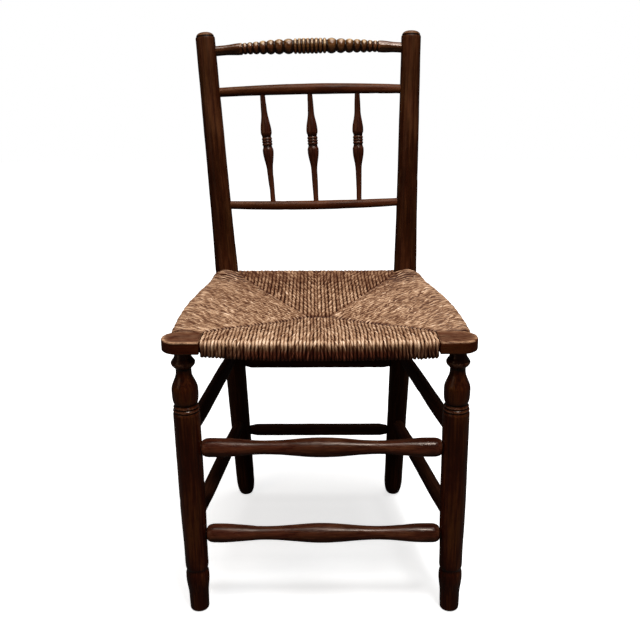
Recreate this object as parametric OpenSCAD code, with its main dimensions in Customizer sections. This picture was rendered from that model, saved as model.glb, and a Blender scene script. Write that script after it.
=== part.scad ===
// Rush-seated side chair with a bobbin-turned crest rail.
// Millimetres, +Z up. The sitter faces -Y and X runs across the chair.
// The origin lies on the floor, under the middle of the outline.

/* [Overall] */
// height of the back posts above the floor
total_h = 850; // [780:5:950]
// height of the top of the seat frame above the floor
seat_h = 439; // [400:1:480]
// distance between the front leg axes
front_span = 383; // [340:1:440]
// distance between the back post axes at the floor
foot_span = 284; // [250:1:320]
// distance between the back post axes at the seat
bend_span = 318; // [290:1:350]
// distance between the back post axes at the top
top_span = 354; // [320:1:400]
// distance from the front leg axes to the back post axes
seat_depth = 345; // [310:1:390]
// backward rake of the posts between the seat and the top
back_rake = 60; // [30:1:90]
// sideways lean of the loosened back at its top
lean_top = 22; // [0:1:26]
// sideways lean of the loosened back at the seat
lean_seat = 9; // [0:1:12]
// how far the feet of the back posts stand to one side
back_foot_shift = -5; // [-6:0.5:6]
// how far the feet of the front legs stand to one side
front_foot_shift = 4.5; // [-6:0.5:6]
// how much nearer to the middle each front leg stands at its top
front_toe_in = 1; // [0:0.5:3]

/* [Back posts] */
// post radius at the seat
post_r = 20; // [17:0.5:23]
// post radius just under the domed top
post_top_r = 16.5; // [14:0.5:20]
// post radius above the rounded foot
post_foot_r = 16.8; // [14:0.1:20]
// flat radius left under the rounded foot
post_pad_r = 9; // [6:0.5:12]
// height of the rounding at the foot
post_foot_h = 30; // [15:1:45]
// slight swelling of the post where it bends at the seat
bend_swell = 0.4; // [0.2:0.1:1]
// height of the dome on the post
dome_h = 7; // [3:0.5:12]
// radius of the rounded rim below the dome
dome_rim = 2; // [1:0.5:4]

/* [Front legs] */
// radius of the straight part of the shaft
leg_r = 18.8; // [16:0.1:22]
// shaft radius just above the foot groove
leg_low_r = 17.3; // [15:0.1:20]
// height of the foot groove
groove_z = 71; // [60:1:90]
// radius in the foot groove
groove_r = 15.9; // [14:0.1:17]
// widest radius of the foot, under the groove
foot_r = 17.6; // [15:0.1:20]
// radius of the narrow end of the foot
foot_end_r = 14.4; // [12:0.1:17]
// rounding under the foot
foot_round = 3.5; // [1:0.5:5]
// top of the plain shaft, under the rings
shaft_z = 329; // [310:1:340]
// radius of the two rings
ring_r = 18.2; // [16:0.1:20]
// height of one ring
ring_h = 5; // [4:0.5:7]
// radius of the groove beside a ring
ring_groove_r = 16.2; // [14:0.1:17]
// height of the vase turning
vase_h = 50; // [40:1:60]
// widest radius of the vase
vase_r = 18.7; // [16:0.1:21]
// part of the vase height that is below its widest ring
vase_low = 0.34; // [0.25:0.01:0.45]
// radius of the neck above the vase
neck_r = 11.1; // [9:0.1:13]
// height of the collar ring under the seat
collar_z = 401; // [392:1:405]
// radius of the collar ring
collar_r = 17.1; // [14:0.1:19]
// half height of the collar ring
collar_half = 7; // [5:0.5:9]
// radius of the neck that meets the seat rail
top_neck_r = 12.4; // [10:0.1:15]

/* [Seat frame] */
// thickness of the front rail and its rounded ends
rail_t = 17.5; // [14:0.5:22]
// radius of the rounded front rail ends
lobe_r = 26; // [20:0.5:30]
// length of a rounded end inboard of the leg axis
lobe_in = 28; // [20:0.5:32]
// how far the front rail and the seat sit off centre
rail_shift = -1; // [-3:0.5:3]
// edge rounding of the front rail ends
lobe_edge = 2; // [1:0.5:4]
// depth of the wrapped part of the front rail
front_bar_w = 30; // [24:1:36]
// thickness of the wrapped rails
bar_t = 11.5; // [11:0.5:15]
// height of the wrapped rails above the underside of the front rail
bar_lift = 0.5; // [0.5:0.5:4]
// width of the side and back rails
side_bar_w = 26; // [20:1:32]
// outward bow of the side rails
side_bow = 7; // [0:1:12]
// radius of the round tenons on the side and back rails
bar_tenon_r = 5.5; // [4:0.5:6]

/* [Rush seat] */
// bevel along the edges of the wrapped seat
rush_edge_r = 3; // [2:0.5:5]
// how far the widest part of the seat reaches beyond the front leg axes
rush_wide_over = 19.5; // [15:0.5:26]
// how far the seat reaches beyond the back post axes
rush_back_over = 26; // [21:0.5:32]
// how far the seat reaches beyond the front leg axes where it leaves the rail ends
rush_front_over = 17.5; // [12:0.5:20]
// depth of the wrapped back edge behind the post axes
rush_back = 16; // [12:1:20]
// thickness of the seat at its edges
rush_t = 27; // [22:0.5:32]
// hollow in the middle of the seat
rush_dish = 9; // [0:1:14]
// gap left between the rush and the wood
rush_gap = 0.3; // [0.2:0.1:1]

/* [Back rails] */
// height of the crest rail ends
crest_z = 820; // [790:1:830]
// height of the middle rail ends
mid_z = 753; // [720:1:770]
// height of the lower rail ends
low_z = 564; // [540:1:600]
// how much lower the left rail ends sit
rail_drop = 5; // [0:1:8]
// upward bow of the crest rail
crest_bow = 7; // [0:0.5:12]
// upward bow of the middle rail
mid_bow = 3.7; // [0:0.1:8]
// downward sag of the lower rail
low_sag = 3.5; // [0:0.1:8]
// radius of the plain crest rail ends
crest_end_r = 8.2; // [7:0.1:10]
// radius of the middle rail at its ends
mid_end_r = 7.7; // [6.5:0.1:9]
// radius of the middle rail at its middle
mid_r = 9; // [8:0.1:11]
// radius of the lower rail at its ends
low_end_r = 7; // [6:0.1:8]
// radius of the lower rail at its middle
low_r = 8; // [7:0.1:10]
// radius of the largest crest bead
bead_r = 12.9; // [10:0.1:14]
// radius of the smallest crest bead
bead_end_r = 9.6; // [8:0.1:12]
// length of the largest crest bead
bead_len = 16.6; // [12:0.1:20]
// length of the smallest crest bead
bead_end_len = 8.2; // [6:0.1:12]
// crest beads on each side of the fine rings
beads = 7; // [5:1:9]
// fine rings in the middle of the crest rail
fine_rings = 8; // [6:1:10]
// length of one fine ring
fine_len = 7.1; // [6:0.1:9]
// depth of the grooves between the fine rings
fine_cut = 1.6; // [0.8:0.1:2.5]
// radius of the flared end beside the smallest bead
crest_flare_r = 9.8; // [8:0.1:12]
// depth of the crest grooves at the largest bead
bead_cut = 3; // [1.5:0.1:4]
// how far the crest turning sits off centre
crest_shift = 3.5; // [-5:0.5:5]

/* [Spindles] */
// spacing of the spindles at the middle rail
spindle_top_gap = 82; // [70:1:95]
// spacing of the spindles at the lower rail
spindle_low_gap = 75.5; // [65:0.5:90]
// sideways place of the centre spindle at the lower rail
spindle_low_shift = 5; // [-8:1:8]
// radius of the spindle ends
spindle_end_r = 4.4; // [3.5:0.1:5.5]
// radius of the slender part beside the swellings
spindle_slim_r = 5.4; // [4.5:0.1:6.5]
// radius of the two swellings
spindle_r = 9.6; // [8:0.1:11]
// radius of the three rings
spindle_ring_r = 9; // [7:0.1:10]
// length of one spindle ring
spindle_ring_len = 4.6; // [3.5:0.1:6]
// radius of the necks beside the rings
spindle_neck_r = 7.6; // [6:0.1:8.5]
// height of the rings as a part of the spindle length
spindle_at = 0.56; // [0.4:0.01:0.7]

/* [Stretchers] */
// height of the upper front stretcher
front_up_z = 271; // [250:0.5:285]
// height of the lower front stretcher
front_low_z = 130; // [110:0.5:140]
// height of the upper side stretchers
side_up_z = 291; // [270:0.5:305]
// height of the lower side stretchers
side_low_z = 151; // [140:0.5:170]
// height of the upper back stretcher
back_up_z = 272; // [250:0.5:280]
// height of the lower back stretcher
back_low_z = 134; // [120:0.5:140]
// radius of the swelling in the middle of a front stretcher
swell_r = 14.4; // [12:0.1:17]
// radius of the slender parts of a front stretcher
slim_r = 10; // [8:0.1:12]
// radius of the rounded ends of a front stretcher
bulb_r = 13.9; // [11:0.1:16]
// length of the rounding at the ends of a front stretcher
bulb_round = 11; // [6:1:14]
// radius of the side stretchers
side_r = 11.3; // [9:0.1:13]
// radius of the side stretchers where they meet the legs
side_end_r = 10; // [8:0.1:11]
// radius of the back stretchers
back_r = 11.1; // [9:0.1:12]
// radius of the back stretchers where they meet the posts
back_end_r = 9; // [8:0.1:10]
// length of the rounding at the ends of the back stretchers
back_round = 13; // [8:1:30]

/* [Joinery] */
// radius of the stretcher tenons
tenon_r = 7.5; // [6:0.1:7.8]
// how far from the axis of a leg the stretcher tenons stop
tenon_stop = 2; // [1:0.5:6]
// radius of the tenon on top of a front leg
leg_tenon_r = 9; // [7:0.5:10]
// height of the tenon on top of a front leg
leg_tenon_h = 13; // [9:0.5:14]
// how far from the axis of a post the back rails stop
rail_stop = 2.5; // [1:0.5:6]
// how far from the axis of a post the side seat rails stop
side_bar_stop = 7; // [7:0.5:10]
// how far from the axis of a post the back seat rail stops
back_bar_stop = 7; // [7:0.5:10]
// depth of the side seat rails in the front rail
lobe_tenon_in = 12; // [8:0.5:12]
// how far from the axis of a rail the spindles stop
spindle_stop = 2; // [1.5:0.5:4]
// glue line round each tenon
glue = 0.15; // [0.1:0.05:0.3]
// space left at the bottom of each socket
end_gap = 1; // [0.5:0.5:2]

/* [Finish] */
// smoothness of the curves
smooth = 64; // [24:8:96]

/* [Hidden] */
$fn = smooth;
leg_x = front_span / 2;
seat_low = seat_h - rail_t;
bar_z = seat_low + bar_lift + bar_t / 2;
rake_angle = atan(back_rake / (total_h - seat_h));
back_edge = seat_depth + back_rake - (dome_h + dome_rim) * sin(rake_angle) + post_top_r * cos(rake_angle);
mid_y = (back_edge - lobe_r) / 2;
sides = 20;
left = -1;
right = 1;

// ---- places ----
function mix(a, b, s) = a + (b - a) * s;
function foot_at(side) = [side * foot_span / 2 + back_foot_shift, seat_depth - mid_y, 0];
function bend_at(side) = [side * bend_span / 2 - lean_seat, seat_depth - mid_y, seat_h];
function top_at(side) = [side * top_span / 2 - lean_top, seat_depth + back_rake - mid_y, total_h];
function post_at(side, z) = z < seat_h
    ? mix(foot_at(side), bend_at(side), z / seat_h)
    : mix(bend_at(side), top_at(side), (z - seat_h) / (total_h - seat_h));
function leg_at(side, z) =
    [side * (leg_x - front_toe_in * z / seat_low) + front_foot_shift * (1 - z / seat_low), -mid_y, z];
function rail_end(side, z) = post_at(side, z + side * rail_drop / 2);
function rail_at(z, bow, s) = mix(rail_end(left, z), rail_end(right, z), s)
    + [0, 0, 4 * bow * s * (1 - s)];

// ---- outlines: lists of [distance along the axis, radius] ----
function ease(s) = (1 - cos(180 * s)) / 2;
function curve(z0, z1, r0, r1, n = 8) = [for (i = [0:n]) [mix(z0, z1, i / n), mix(r0, r1, ease(i / n))]];
function bead(z0, z1, r_edge, r_mid, n = 8) =
    [for (i = [0:n]) [mix(z0, z1, i / n), r_edge + (r_mid - r_edge) * sin(180 * i / n)]];
function quarter(z0, z1, r0, r1, n = 8) =
    [for (i = [0:n]) [z0 + (z1 - z0) * (1 - cos(90 * i / n)), r0 + (r1 - r0) * sin(90 * i / n)]];
function rise(z0, z1, r0, r1, n = 6) = [for (i = [0:n]) [mix(z0, z1, i / n), mix(r0, r1, sin(90 * i / n))]];
function flip(points) = [for (i = [len(points) - 1:-1:0]) [-points[i][0], points[i][1]]];

module turned(points) {
    first = points[0][0];
    last = points[len(points) - 1][0];
    outline = concat([[0, first]], [for (p = points) [p[1], p[0]]], [[0, last]]);
    rotate_extrude()
        polygon(outline);
}

// places children standing at a, pointing to b
module along(a, b) {
    v = b - a;
    translate(a)
        rotate([0, acos(v[2] / norm(v)), atan2(v[1], v[0])])
            children();
}

// a round blind socket that opens toward b and ends near the axis point a
module socket(a, b, r, stop) {
    along(a, b)
        translate([0, 0, stop - end_gap])
            cylinder(r = r + glue, h = 2 * post_r);
}

// ---- back posts ----
post_len = norm(top_at(right) - bend_at(right));
post_low_len = norm(bend_at(right) - foot_at(right));

function post_lower() = concat(
    [[-post_pad_r / 4, post_pad_r]],
    quarter(0, post_foot_h, post_pad_r, post_foot_r, 8),
    [[post_low_len, post_r]]
);
function post_taper(n = 10) = [
    for (i = [0:n])
        [mix(0, post_len - dome_h - dome_rim, i / n), mix(post_top_r, post_r, pow(1 - i / n, 1.8))]
];
function post_dome(n = 6) = let (rim_z = post_len - dome_h, dome_r = post_top_r - dome_rim / 2) concat(
    [for (i = [1:3]) [rim_z - dome_rim * cos(30 * i), post_top_r - dome_rim * (1 - cos(30 * i)) / 2]],
    [for (i = [1:n]) [rim_z + dome_h * sin(90 * i / n), dome_r * cos(84 * i / n)]]
);

module post_stretcher_sockets(side) {
    for (z = [side_up_z, side_low_z])
        socket(post_at(side, z), leg_at(side, z), tenon_r, tenon_stop);
    for (z = [back_up_z, back_low_z])
        socket(post_at(side, z), post_at(-side, z), tenon_r, tenon_stop);
}

module post_rail_sockets(side) {
    s = side == left ? 0 : 1;
    near = abs(s - 0.05);
    socket(rail_at(crest_z, crest_bow, s), rail_at(crest_z, crest_bow, near), crest_end_r, rail_stop);
    socket(rail_at(mid_z, mid_bow, s), rail_at(mid_z, mid_bow, near), mid_end_r, rail_stop);
    socket(rail_at(low_z, -low_sag, s), rail_at(low_z, -low_sag, near), low_end_r, rail_stop);
    socket(post_at(side, bar_z), post_at(-side, bar_z), bar_tenon_r, back_bar_stop);
    socket(post_at(side, bar_z), side_bar_front(side), bar_tenon_r, side_bar_stop);
}

module back_post(side) {
    color("saddlebrown")
        difference() {
            union() {
                along(foot_at(side), bend_at(side))
                    turned(post_lower());
                translate(bend_at(side))
                    sphere(r = post_r + bend_swell);
                along(bend_at(side), top_at(side))
                    turned(concat(post_taper(), post_dome()));
            }
            translate(foot_at(side) + [-post_r, -post_r, -post_r])
                cube([2 * post_r, 2 * post_r, post_r]);
            post_stretcher_sockets(side);
            post_rail_sockets(side);
        }
}

module back_post_left() back_post(left);
module back_post_right() back_post(right);

// ---- front legs ----
leg_len = norm(leg_at(right, seat_low) - leg_at(right, 0)) - 1.5 * glue;
vase_z = shaft_z + 2 * ring_h + 2;
vase_mid = vase_z + vase_h * vase_low;
neck_z = vase_z + vase_h;

function leg_foot() = concat(
    [[-0.5, foot_end_r - foot_round]],
    [for (i = [1:4]) [foot_round * (1 - cos(22.5 * i)), foot_end_r - foot_round * (1 - sin(22.5 * i))]],
    curve(groove_z * 0.35, groove_z * 0.8, foot_end_r + 0.4, foot_r, 6),
    curve(groove_z * 0.88, groove_z, foot_r - 0.2, groove_r, 4)
);
function leg_shaft() = concat(
    quarter(groove_z + 2, groove_z + 10, groove_r + 0.3, leg_low_r, 4),
    curve(groove_z + 14, groove_z + 110, leg_low_r, leg_r, 6),
    [[shaft_z - 3, leg_r], [shaft_z - 1, leg_r - 0.8], [shaft_z, ring_groove_r + 0.6]]
);
function leg_rings() = concat(
    bead(shaft_z, shaft_z + ring_h, ring_groove_r + 0.6, ring_r + 0.3, 6),
    bead(shaft_z + ring_h + 0.5, shaft_z + 2 * ring_h, ring_groove_r, ring_r - 0.6, 6)
);
function leg_vase() = concat(
    [[vase_z, ring_groove_r - 0.8]],
    quarter(vase_z + 0.5, vase_mid, ring_groove_r - 0.6, vase_r, 8),
    curve(vase_mid + 4, neck_z - 2, vase_r, neck_r, 10)
);
function leg_collar() = concat(
    [[neck_z + 2, neck_r], [collar_z - collar_half + 0.5, neck_r + 0.3]],
    rise(collar_z - collar_half + 0.8, collar_z + 1.5, neck_r + 0.8, collar_r, 6),
    [[collar_z + 3.2, collar_r - 0.4]],
    curve(collar_z + 3.9, collar_z + collar_half + 3, collar_r - 1.4, top_neck_r, 5),
    [[leg_len, top_neck_r]],
    [[leg_len, leg_tenon_r], [leg_len + leg_tenon_h, leg_tenon_r]]
);

module front_leg(side) {
    color("saddlebrown")
        difference() {
            along(leg_at(side, 0), leg_at(side, seat_low))
                turned(concat(leg_foot(), leg_shaft(), leg_rings(), leg_vase(), leg_collar()));
            translate(leg_at(side, 0) - [leg_r, leg_r, leg_r])
                cube([2 * leg_r, 2 * leg_r, leg_r]);
            for (z = [front_up_z, front_low_z])
                socket(leg_at(side, z), leg_at(-side, z), tenon_r, tenon_stop);
            for (z = [side_up_z, side_low_z])
                socket(leg_at(side, z), post_at(side, z), tenon_r, tenon_stop);
        }
}

module front_leg_left() front_leg(left);
module front_leg_right() front_leg(right);

// ---- seat frame ----
function side_bar_front(side) = [side * (leg_x - 2), lobe_r - mid_y, bar_z];

// a rectangle with rounded corners, x from 0 to w and y from 0 to h
module rounded(w, h, r) {
    translate([r, 0])
        square([w - 2 * r, h]);
    translate([0, r])
        square([w, h - 2 * r]);
    for (x = [r, w - r])
        for (y = [r, h - r])
            translate([x, y])
                circle(r = r);
}

module lobe(side) {
    translate([side * leg_x + rail_shift, -mid_y, seat_low]) {
        rotate([0, 0, -90 * side])
            rotate_extrude(angle = 180)
                intersection() {
                    translate([-lobe_r, 0])
                        rounded(2 * lobe_r, rail_t, lobe_edge);
                    square([2 * lobe_r, rail_t]);
                }
        translate([side == left ? 0 : -lobe_in, 0, 0])
            rotate([90, 0, 90])
                linear_extrude(height = lobe_in)
                    translate([-lobe_r, 0])
                        rounded(2 * lobe_r, rail_t, lobe_edge);
    }
}

module front_seat_rail() {
    color("sienna")
        difference() {
            union() {
                lobe(left);
                lobe(right);
                translate([rail_shift - leg_x, -front_bar_w / 2 - mid_y, seat_low + bar_lift])
                    cube([2 * leg_x, front_bar_w, bar_t]);
            }
            for (side = [left, right]) {
                along(leg_at(side, seat_low - 1), leg_at(side, seat_h))
                    cylinder(r = leg_tenon_r + glue, h = leg_tenon_h + end_gap + 1);
                along(side_bar_front(side), post_at(side, bar_z))
                    translate([0, 0, -lobe_tenon_in - end_gap])
                        cylinder(r = bar_tenon_r + glue, h = 3 * lobe_tenon_in);
            }
        }
}

// the bowed bar of a side rail, with its section grown all round
module side_bar(side, grow = 0) {
    a = side_bar_front(side);
    b = post_at(side, bar_z);
    chord = norm(b - a) - post_r;
    bow_r = chord * chord / (8 * side_bow) + side_bow / 2;
    half = asin(chord / (2 * bow_r)) - 0.1 + atan(grow / bow_r);
    translate(a)
        rotate([0, 0, atan2(b[1] - a[1], b[0] - a[0])])
            translate([chord / 2, side * (bow_r - side_bow), -bar_t / 2 - grow])
                rotate([0, 0, -90 * side - half])
                    rotate_extrude(angle = 2 * half, $fn = 720)
                        translate([bow_r - side_bar_w / 2 - grow, 0])
                            rounded(side_bar_w + 2 * grow, bar_t + 2 * grow, bar_t / 3, $fn = smooth);
}

module side_tenons(side, grow = 0) {
    a = side_bar_front(side);
    b = post_at(side, bar_z);
    along(a, b)
        translate([0, 0, -lobe_tenon_in])
            cylinder(r = bar_tenon_r + grow, h = lobe_tenon_in + norm(b - a) - side_bar_stop);
}

module side_seat_rail(side) {
    color("sienna") {
        side_bar(side);
        side_tenons(side);
    }
}

module side_seat_rail_left() side_seat_rail(left);
module side_seat_rail_right() side_seat_rail(right);

module back_bar(grow = 0) {
    a = post_at(left, bar_z);
    b = post_at(right, bar_z);
    full = norm(b - a);
    along(a, b) {
        translate([0, 0, back_bar_stop])
            cylinder(r = bar_tenon_r + grow, h = full - 2 * back_bar_stop);
        translate([-bar_t / 2 - grow, -side_bar_w / 2 - grow, post_r + 1 - grow])
            linear_extrude(height = full - 2 * (post_r + 1 - grow))
                rounded(bar_t + 2 * grow, side_bar_w + 2 * grow, bar_t / 3);
    }
}

module back_seat_rail() {
    color("sienna")
        back_bar();
}

// ---- rush seat ----
rush_top = seat_h + 1;
rush_low = rush_top - rush_t;
rush_y0 = lobe_r + 2 * rush_gap;
rush_y1 = seat_depth - post_r + 3;
rush_half_w = leg_x + rush_wide_over;
rush_back_half = bend_span / 2 + rush_back_over;
rush_front_half = leg_x + rush_front_over;
rush_skew = -lean_seat - rail_shift;
function rush_edge(s) = mix(rush_front_half, rush_back_half, s)
    + 4 * (rush_half_w - (rush_front_half + rush_back_half) / 2) * s * (1 - s) * 0.85;
function rush_side(n = 12) = [for (i = [0:n]) [rush_edge(i / n), mix(rush_y0, rush_y1, i / n)]];
function rush_half_outline() = concat(
    [[leg_x - lobe_in - rush_gap, 1 - lobe_r], [leg_x - lobe_in - rush_gap, rush_y0]],
    rush_side(),
    [[bend_span / 2, rush_y1], [bend_span / 2, seat_depth + rush_back]]
);
function mirrored(points) = [for (i = [len(points) - 1:-1:0]) [-points[i][0], points[i][1]]];

function skewed(p) = [p[0] + rush_skew * max(0, p[1] - rush_y0) / (rush_y1 - rush_y0), p[1]];

module rush_layer(inset, z0, z1) {
    translate([rail_shift, -mid_y, z0])
        linear_extrude(height = z1 - z0)
            offset(delta = -inset)
                polygon([for (p = concat(rush_half_outline(), mirrored(rush_half_outline()))) skewed(p)]);
}

module rail_tunnels() {
    translate([rail_shift - leg_x, -front_bar_w / 2 - mid_y - rush_gap, seat_low + bar_lift - rush_gap])
        cube([2 * leg_x, front_bar_w + 2 * rush_gap, bar_t + 2 * rush_gap]);
    back_bar(rush_gap);
    for (side = [left, right]) {
        side_bar(side, rush_gap);
        side_tenons(side, rush_gap);
    }
}

module rush_seat() {
    dish_reach = seat_depth * 0.4;
    dish_r = dish_reach * dish_reach / (2 * rush_dish) + rush_dish / 2;
    color("tan")
        difference() {
            union() {
                rush_layer(0, rush_low + rush_edge_r, rush_top - rush_edge_r);
                rush_layer(rush_edge_r, rush_low, rush_top);
            }
            translate([0, seat_depth * 0.46 - mid_y, rush_top - rush_dish + dish_r])
                sphere(r = dish_r, $fn = 200);
            rail_tunnels();
            for (side = [left, right])
                along(post_at(side, seat_h - 2 * rush_t), bend_at(side))
                    cylinder(r = post_r + bend_swell + 2 * rush_gap, h = 4 * rush_t);
        }
}

// ---- back rails ----
fine_half = fine_rings * fine_len / 2;
bead_last = beads - 1;
function rail_span(z) = norm(rail_end(right, z) - rail_end(left, z));
function bead_step(i) = mix(bead_len, bead_end_len, i / bead_last);
function bead_start(i) = fine_half + i * (bead_len + bead_step(i - 1)) / 2;
function bead_top(i) = mix(bead_r, bead_end_r, i / bead_last);
function bead_floor(i) = bead_top(i) - bead_cut * bead_step(i) / bead_len;
function crest_beads(n = 5) = [
    for (i = [0:bead_last])
        for (j = [0:n - 1])
            [bead_start(i) + bead_step(i) * j / n, mix(bead_floor(i), bead_top(i), sin(180 * j / n))]
];
function crest_fine(n = 4) = [
    for (i = [0:fine_rings - 1])
        for (j = [0:n - 1])
            [(i + j / n) * fine_len - fine_half, bead_r - fine_cut + fine_cut * sin(180 * j / n)]
];
function crest_end(reach) = concat(
    [[bead_start(beads), bead_floor(bead_last)], [bead_start(beads) + 1.5, crest_flare_r]],
    curve(bead_start(beads) + 4, reach - post_r - 6, crest_flare_r, crest_end_r, 5)
);
function crest_half(reach) = concat(crest_beads(), crest_end(reach));
// [place along the rail, radius] for the crest rail
function crest_outline(reach) = concat(
    [[-reach, crest_end_r]],
    [
        for (p = concat(flip(crest_half(reach)), crest_fine(), crest_half(reach)))
            [p[0] + crest_shift, p[1]]
    ],
    [[reach, crest_end_r]]
);
// [place along the rail, radius] for a plain rail with a swollen middle
function plain_outline(reach, r_end, r_mid, n = 16) = concat(
    [[-reach, r_end]],
    [for (i = [0:n]) [mix(post_r - reach, reach - post_r, i / n), mix(r_end, r_mid, sin(180 * i / n))]],
    [[reach, r_end]]
);

// a rail that follows its bowed line, ring after ring
module bowed_rail(z, bow, outline) {
    rings = len(outline);
    span = rail_span(z);
    points = [
        for (p = outline)
            for (k = [0:sides - 1])
                rail_at(z, bow, 0.5 + p[0] / span) + p[1] * [0, cos(360 * k / sides), sin(360 * k / sides)]
    ];
    walls = [
        for (i = [0:rings - 2])
            for (k = [0:sides - 1])
                let (a = i * sides + k, b = i * sides + (k + 1) % sides)
                    each [[a, a + sides, b], [b, a + sides, b + sides]]
    ];
    start = [[for (k = [0:sides - 1]) k]];
    finish = [[for (k = [sides - 1:-1:0]) (rings - 1) * sides + k]];
    polyhedron(points, concat(start, walls, finish));
}

module crest_rail() {
    color("peru")
        bowed_rail(crest_z, crest_bow, crest_outline(rail_span(crest_z) / 2 - rail_stop));
}

module middle_rail() {
    color("peru")
        difference() {
            bowed_rail(mid_z, mid_bow, plain_outline(rail_span(mid_z) / 2 - rail_stop, mid_end_r, mid_r));
            for (i = [-1:1])
                socket(spindle_high(i), spindle_low(i), spindle_end_r, spindle_stop);
        }
}

module lower_rail() {
    color("peru")
        difference() {
            bowed_rail(low_z, -low_sag, plain_outline(rail_span(low_z) / 2 - rail_stop, low_end_r, low_r));
            for (i = [-1:1])
                socket(spindle_low(i), spindle_high(i), spindle_end_r, spindle_stop);
        }
}

// ---- spindles ----
function spindle_high(i) = rail_at(mid_z, mid_bow, 0.5 + i * spindle_top_gap / rail_span(mid_z));
function spindle_low(i) =
    rail_at(low_z, -low_sag, 0.5 + (i * spindle_low_gap + spindle_low_shift) / rail_span(low_z));
rings_half = 1.5 * spindle_ring_len;
function spindle_half(end) = concat(
    [[rings_half + 0.8, spindle_neck_r]],
    curve(rings_half + 1.5, rings_half + 8, spindle_neck_r + 0.3, spindle_r, 5),
    curve(rings_half + 10, rings_half + 44, spindle_r, spindle_slim_r, 10),
    [[end - mid_r, spindle_end_r], [end, spindle_end_r]]
);
function spindle_ring(i) = let (z0 = (i - 0.5) * spindle_ring_len)
    bead(z0, z0 + 0.95 * spindle_ring_len, spindle_neck_r + 0.4, spindle_ring_r, 4);

module spindle(i) {
    a = spindle_low(i);
    b = spindle_high(i);
    full = norm(b - a);
    rings_at = full * spindle_at;
    outline = concat(
        flip(spindle_half(rings_at - spindle_stop)),
        spindle_ring(-1), spindle_ring(0), spindle_ring(1),
        spindle_half(full - rings_at - spindle_stop)
    );
    color("saddlebrown")
        along(a, b)
            translate([0, 0, rings_at])
                turned(outline);
}

module spindle_left() spindle(-1);
module spindle_centre() spindle(0);
module spindle_right() spindle(1);

// ---- stretchers ----
function post_radius(z) = mix(post_foot_r, post_r, (z - post_foot_h) / (seat_h - post_foot_h));
function leg_radius(z) =
    z > groove_z + 110 ? leg_r : mix(leg_low_r, leg_r, ease((z - groove_z - 14) / 96));

module leg_core(side, z) {
    along(leg_at(side, z - 2 * post_r), leg_at(side, z + 2 * post_r))
        cylinder(r = leg_radius(z + bulb_r) + glue, h = 4 * post_r);
}

module post_core(side, z) {
    along(post_at(side, z - 2 * post_r), post_at(side, z + 2 * post_r))
        cylinder(r = post_radius(z) + 2 * glue, h = 4 * post_r);
}

// a rung from axis to axis: its body is coped round the legs, its tenons run on into them
module rung(a, b, outline) {
    full = norm(b - a);
    difference() {
        along(a, b)
            turned(outline);
        children();
    }
    along(a, b)
        translate([0, 0, tenon_stop])
            cylinder(r = tenon_r, h = full - 2 * tenon_stop);
}

function front_half(reach) = concat(
    curve(0, reach * 0.43, swell_r, slim_r, 12),
    curve(reach * 0.44, reach - leg_r - 1.9 * bulb_round, slim_r, bulb_r, 10),
    [for (p = flip(quarter(leg_r - 0.3, leg_r + bulb_round, tenon_r + 0.6, bulb_r, 7))) [reach + p[0], p[1]]],
    [[reach - leg_r + 3, tenon_r + 0.6]]
);

module front_stretcher(z) {
    a = leg_at(left, z);
    b = leg_at(right, z);
    reach = norm(b - a) / 2;
    half = front_half(reach);
    outline = [for (p = concat(flip(half), half)) [p[0] + reach, p[1]]];
    color("saddlebrown")
        rung(a, b, outline) {
            leg_core(left, z);
            leg_core(right, z);
        }
}

module front_stretcher_upper() front_stretcher(front_up_z);
module front_stretcher_lower() front_stretcher(front_low_z);

// a plain rung that narrows a little near both ends
function plain_rung(full, r_end, r_mid, taper) = concat(
    [[leg_r / 2, r_end]],
    curve(leg_r, leg_r + taper, r_end, r_mid, 6),
    curve(full - leg_r - taper, full - leg_r, r_mid, r_end, 6),
    [[full - leg_r / 2, r_end]]
);

module side_stretcher(side, z) {
    a = leg_at(side, z);
    b = post_at(side, z);
    color("saddlebrown")
        rung(a, b, plain_rung(norm(b - a), side_end_r, side_r, 4 * leg_r)) {
            leg_core(side, z);
            post_core(side, z);
        }
}

module side_stretcher_upper_left() side_stretcher(left, side_up_z);
module side_stretcher_upper_right() side_stretcher(right, side_up_z);
module side_stretcher_lower_left() side_stretcher(left, side_low_z);
module side_stretcher_lower_right() side_stretcher(right, side_low_z);

module back_stretcher(z) {
    a = post_at(left, z);
    b = post_at(right, z);
    color("saddlebrown")
        rung(a, b, plain_rung(norm(b - a), back_end_r, back_r, back_round)) {
            post_core(left, z);
            post_core(right, z);
        }
}

module back_stretcher_upper() back_stretcher(back_up_z);
module back_stretcher_lower() back_stretcher(back_low_z);

back_post_left();
back_post_right();
front_leg_left();
front_leg_right();
front_seat_rail();
side_seat_rail_left();
side_seat_rail_right();
back_seat_rail();
rush_seat();
crest_rail();
middle_rail();
lower_rail();
spindle_left();
spindle_centre();
spindle_right();
front_stretcher_upper();
front_stretcher_lower();
side_stretcher_upper_left();
side_stretcher_upper_right();
side_stretcher_lower_left();
side_stretcher_lower_right();
back_stretcher_upper();
back_stretcher_lower();
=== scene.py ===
"""Rush-seated side chair with a bobbin-turned crest: the looks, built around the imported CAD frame."""
import math

import bpy
import numpy as np
from mathutils import Matrix, Vector


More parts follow.
